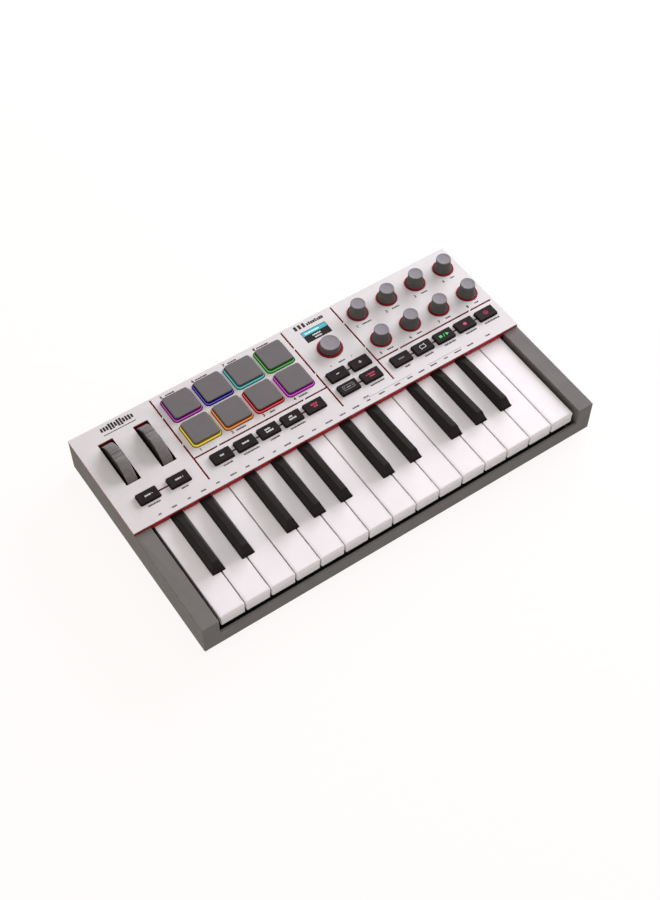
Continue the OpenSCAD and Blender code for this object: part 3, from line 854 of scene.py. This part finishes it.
captions = {
    "left_buttons": [10.7, 5.8],
    "pad_row_buttons": [8.6, 13.9, 8.5, 13.8, 0],
    "menu_buttons": [0, 12.9, 0, 0],
    "transport_buttons": [4.8, 8.5, 11.3, 10.7, 14.5],
}
rects, shapes = [], []
for node, widths in captions.items():
    for (x, y), width in zip(buttonSpots(node), widths):
        if width:
            rects.append(words(x + 0.7, y - printing["belowButton"], width, printing["height"]))
for i, (low, high) in enumerate(boxOf(f"pad_{i}") for i in range(1, 9)):
    y = low[1] - 2.9 if i < 4 else high[1] + 2.7
    shapes.append(digit(str(i + 1), low[0] + 3.4, y, printing["padDigit"]))
    if i:
        rects.append(words(low[0] + 11.0, y, printing["padWords"][i], printing["height"]))
for i, (low, high) in enumerate(boxOf(f"knob_{i}") for i in range(1, 9)):
    x, y = (low[:2] + high[:2]) / 2
    y -= printing["belowKnob"]
    shapes.append(digit(str(i + 1), x - 8.3, y, printing["knobDigit"]))
    rects.append(words(x + 0.5, y, printing["knobWords"][i], printing["height"]))
x, y = (boxOf("encoder_knob")[0][:2] + boxOf("encoder_knob")[1][:2]) / 2
y -= printing["belowEncoder"]
rects.append(words(x + 0.3, y, 5.9, printing["height"]))
for side in (-1, 1):
    tip = x + side * printing["besideEncoder"]
    for up in (-1, 1):
        slant = [(tip, y), (tip - side * 1.6, y + up * 1.0)]
        slant += [(tip - side * 1.6, y + up * 0.6), (tip - side * 0.5, y)]
        shapes.append(sheetOf(np.array(slant[::side * up]), inkLow, inkHigh))
nameSpots = [
    -153.0, -140.7, -128.0, -115.7, -103.2, -89.4, -77.1, -65.0, -53.0, -41.0, -29.1, -17.1, -3.0, 9.5, 22.0,
    33.8, 46.5, 61.3, 73.4, 84.7, 96.6, 108.6, 120.6, 132.9, 150.4,
]
nameWidths = [
    2.7, 4.5, 2.7, 4.5, 3.2, 5.5, 3.6, 5.5, 2.7, 5.9, 5.0, 3.6, 6.4, 5.2, 6.2,
    3.4, 5.4, 5.2, 5.0, 5.6, 6.2, 3.6, 6.6, 6.0, 4.4,
]
for x, width in zip(nameSpots, nameWidths):
    rects.append(words(x, frontLip + 4.3, width, 1.4))
for start, stop in [(31, 76.4), (92.9, 124.5)]:
    x = np.arange(start, stop, 1.5)
    y = np.full(len(x), frontLip + 6.2)
    rects.append(np.column_stack([x, x + 0.95, y, np.full(len(x), frontLip + 6.5)]))
rects.append(words(34, frontLip + 8.0, 5, 1.2))

# A plain sound-wave emblem stands at the top left, and plain strokes above the screen.
# The bars of the emblem follow half a sine wave, times a faster cosine.
emblem = {"x": -138.4, "y": 91.6, "pitch": 2.4, "bars": 12, "half": 0.85, "tall": 7.6, "line": 28.0}
n = np.arange(emblem["bars"])
swell = np.sin(np.pi * (n + 0.5) / emblem["bars"]) * (0.62 + 0.38 * np.cos(1.9 * n))
tall = emblem["tall"] * (0.42 + 0.58 * swell)
at = emblem["x"] + (n - (emblem["bars"] - 1) / 2) * emblem["pitch"]
y = emblem["y"]
rects.append(np.column_stack([at - emblem["half"], at + emblem["half"], y - tall / 2, y + tall / 2]))
rects.append(words(emblem["x"], y - 5.3, emblem["line"], 0.9))
title = {"x": 38.6, "y": 92.7}
for dx in (-12.4, -8.6, -4.8):
    rects.append(bar(title["x"] + dx, title["y"], 2.3, 4.6))
rects.append(words(title["x"] + 5.6, title["y"] - 0.5, 16, 3.2))
strokes = blocks(np.vstack(rects), inkLow, inkHigh)
put("panelPrinting", together([strokes] + shapes), [paint["ink"]], "body", sharp=20)
print("printing ready")


screen = {"header": 4.3, "lift": 0.04, "width": 23.2, "depth": 11.6}
low, high = boxOf("display_module")
windowX, windowY = (low[:2] + high[:2]) / 2
glassTop = high[2]
glassProfile = [(0, low[2] + 1), (0, glassTop - 0.2), (0.06, glassTop - 0.06), (0.2, glassTop), (0.6, glassTop)]
glass = slab(rectangle(windowX, windowY, screen["width"], screen["depth"]), [0.3] * 4, glassProfile)
housing = blocks([(low[0], high[0], low[1], high[1])], low[2], low[2] + 2.9)
put("screenWindow", together([glass, housing]), [paint["glass"]], "body", ["display_module"])
top = windowY + screen["depth"] / 2


def shown(name, rects, lift, material):
    # Lit rectangles of the picture, as thin blocks on the glass.
    shape = blocks(np.vstack(rects), glassTop - 0.02 + lift, glassTop + screen["lift"] + lift)
    put(name, shape, [material], "body")


header = bar(windowX, top - screen["header"] / 2 - 0.15, screen["width"] - 0.5, screen["header"] - 0.3)
shown("screenHeader", [header], 0, lit("cyanLight", (0.06, 0.50, 0.62), 0.55, **markLook))
title = words(windowX - 2.2, top - 2.3, 13.5, 1.5)
shown("screenTitle", [title], 0.03, lit("paleLight", (0.6, 0.9, 0.95), 0.8, **markLook))
lines = [words(windowX - 0.4, top - 6.5, 7.6, 1.6), words(windowX - 0.2, top - 9.2, 6.4, 1.5)]
shown("screenLines", lines, 0, lit("whiteLight", (0.75, 0.75, 0.75), 0.6, **markLook))
print("screen ready")


foot = {"radius": 7.0}
low, high = boxOf("feet")
r, top = foot["radius"], high[2]
footProfile = [(r - 1.8, 0.25), (r - 1.4, 0.02), (r - 0.8, 0), (r - 0.25, 0.15), (r - 0.05, 0.6)]
footProfile += [(r, top - 0.2), (r - 0.1, top)]
feet = [turned(x, y, footProfile) for x in (low[0] + r, high[0] - r) for y in (low[1] + r, high[1] - r)]
put("rubberFeet", together(feet), [paint["foot"]], "body", ["feet"])


def alongBack(shape):
    # Lays an upright shape down so that its top looks out of the back wall.
    points, faces = shape
    return points[:, [0, 2, 1]] * [-1, 1, 1], faces


socket = {
    "pinCircle": 3.9, "pinRadius": 0.75, "pinFrom": 7.9, "pinTo": 2.2, "ring": 4.2, "ringHole": 3.3,
    "tongueHalf": 2.6, "tongueThick": 1.4,
}
mounts = {m["name"]: np.array(m["pos_m"]) / mm for m in frame["record"]["mounts"]}
jack, fivePin = mounts["footswitch_jack"], mounts["five_pin_socket"]
backWall = cadHigh[1] / mm
r, end = socket["pinRadius"], backWall - socket["pinTo"]
pinProfile = [(r, backWall - socket["pinFrom"]), (r, end), (r - 0.2, end + 0.3)]
pins = []
for a in np.radians([-90, -45, 0, 45, 90]):
    x = fivePin[0] + socket["pinCircle"] * math.sin(a)
    z = fivePin[2] - socket["pinCircle"] * math.cos(a)
    pins.append(alongBack(turned(-x, z, pinProfile, 16)))
put("socketPins", together(pins), [paint["brass"]], "body")
ringOut = circle(-jack[0], jack[2], socket["ring"], 48)
ringIn = circle(-jack[0], jack[2], socket["ringHole"], 48)
ring = alongBack(band(ringOut, ringIn, backWall - 0.35, backWall - 0.02))
put("jackRing", ring, [paint["steel"]], "body")
openings = {o["name"]: np.array(o["box_m"]) / mm for o in frame["record"]["physics"]["openings"]}
dataLow, dataHigh = openings["data_socket"]
mid = (dataLow + dataHigh) / 2
half, thick = socket["tongueHalf"], socket["tongueThick"]
plan = [(mid[0] - half, mid[0] + half, dataLow[1] - 0.5, dataHigh[1] - 4)]
tongue = blocks(plan, mid[2] - thick, mid[2] + thick)
put("dataTongue", tongue, [paint["paint"]], "body")
print("back ready")


stage = {
    "floorGlow": (0.92, 0.895, 0.885), "floorColour": 0.09, "floorSize": 6.0,
    "dome": [(0.2, (0.05, 0.04, 0.03)), (0.55, (0.46, 0.445, 0.44)), (1.0, (1.06, 1.03, 1.03))],
    "key": dict(place=(1.655, 0.669, 0.66), size=(1.9, 0.75), power=60, colour=(0.97, 0.95, 1.03)),
    "fill": dict(place=(-1.6, 0.15, 0.5), size=(1.0, 1.0), power=3, colour=(1.0, 0.86, 0.72)),
}
mesh = bpy.data.meshes.new("floor")
s = stage["floorSize"] / 2
mesh.from_pydata([(-s, -s, 0), (s, -s, 0), (s, s, 0), (-s, s, 0)], [], [(0, 1, 2, 3)])
look = dict(mottle=0.004, mottleSize=300, grain=2, bump=0.01, shine=0.05)
paper = shade("floorPaper", [stage["floorColour"]] * 3, 0.8, **look)
shader = paper.node_tree.nodes["Principled BSDF"]
shader.inputs["Emission Color"].default_value = (*stage["floorGlow"], 1)
shader.inputs["Emission Strength"].default_value = 1.0
mesh.materials.append(paper)
place("floor", mesh)

for name in ("key", "fill"):
    spec = stage[name]
    data = bpy.data.lights.new(name, "AREA")
    data.shape = "RECTANGLE"
    data.size, data.size_y = spec["size"]
    data.energy = spec["power"]
    data.color = spec["colour"]
    lamp = place(name, data)
    lamp.location = spec["place"]
    lamp.rotation_euler = (-Vector(spec["place"])).to_track_quat("-Z", "Y").to_euler()

world = bpy.data.worlds.new("room")
bpy.context.scene.world = world
world.use_nodes = True
tree = world.node_tree
sky = tree.nodes.new("ShaderNodeTexCoord")
split = tree.nodes.new("ShaderNodeSeparateXYZ")
ramp = rampOf(tree, stage["dome"])
tree.links.new(sky.outputs["Generated"], split.inputs["Vector"])
tree.links.new(split.outputs["Z"], ramp.inputs["Fac"])
tree.links.new(ramp.outputs["Color"], tree.nodes["Background"].inputs["Color"])
bpy.context.scene.view_settings.view_transform = "Standard"

# The camera stands above the front left corner and looks down and to the right.
view = {"place": (-0.37988, -0.55032, 0.93988), "lens": 58.68, "down": 54.645, "turn": -34.267, "roll": -0.093}
lens = bpy.data.cameras.new("camera")
lens.lens = view["lens"]
lens.sensor_width = 36
lens.clip_start = 0.05
camera = place("camera", lens)
camera.location = view["place"]
camera.rotation_euler = np.radians([90 - view["down"], view["roll"], view["turn"]])
bpy.context.scene.camera = camera
print("stage ready")
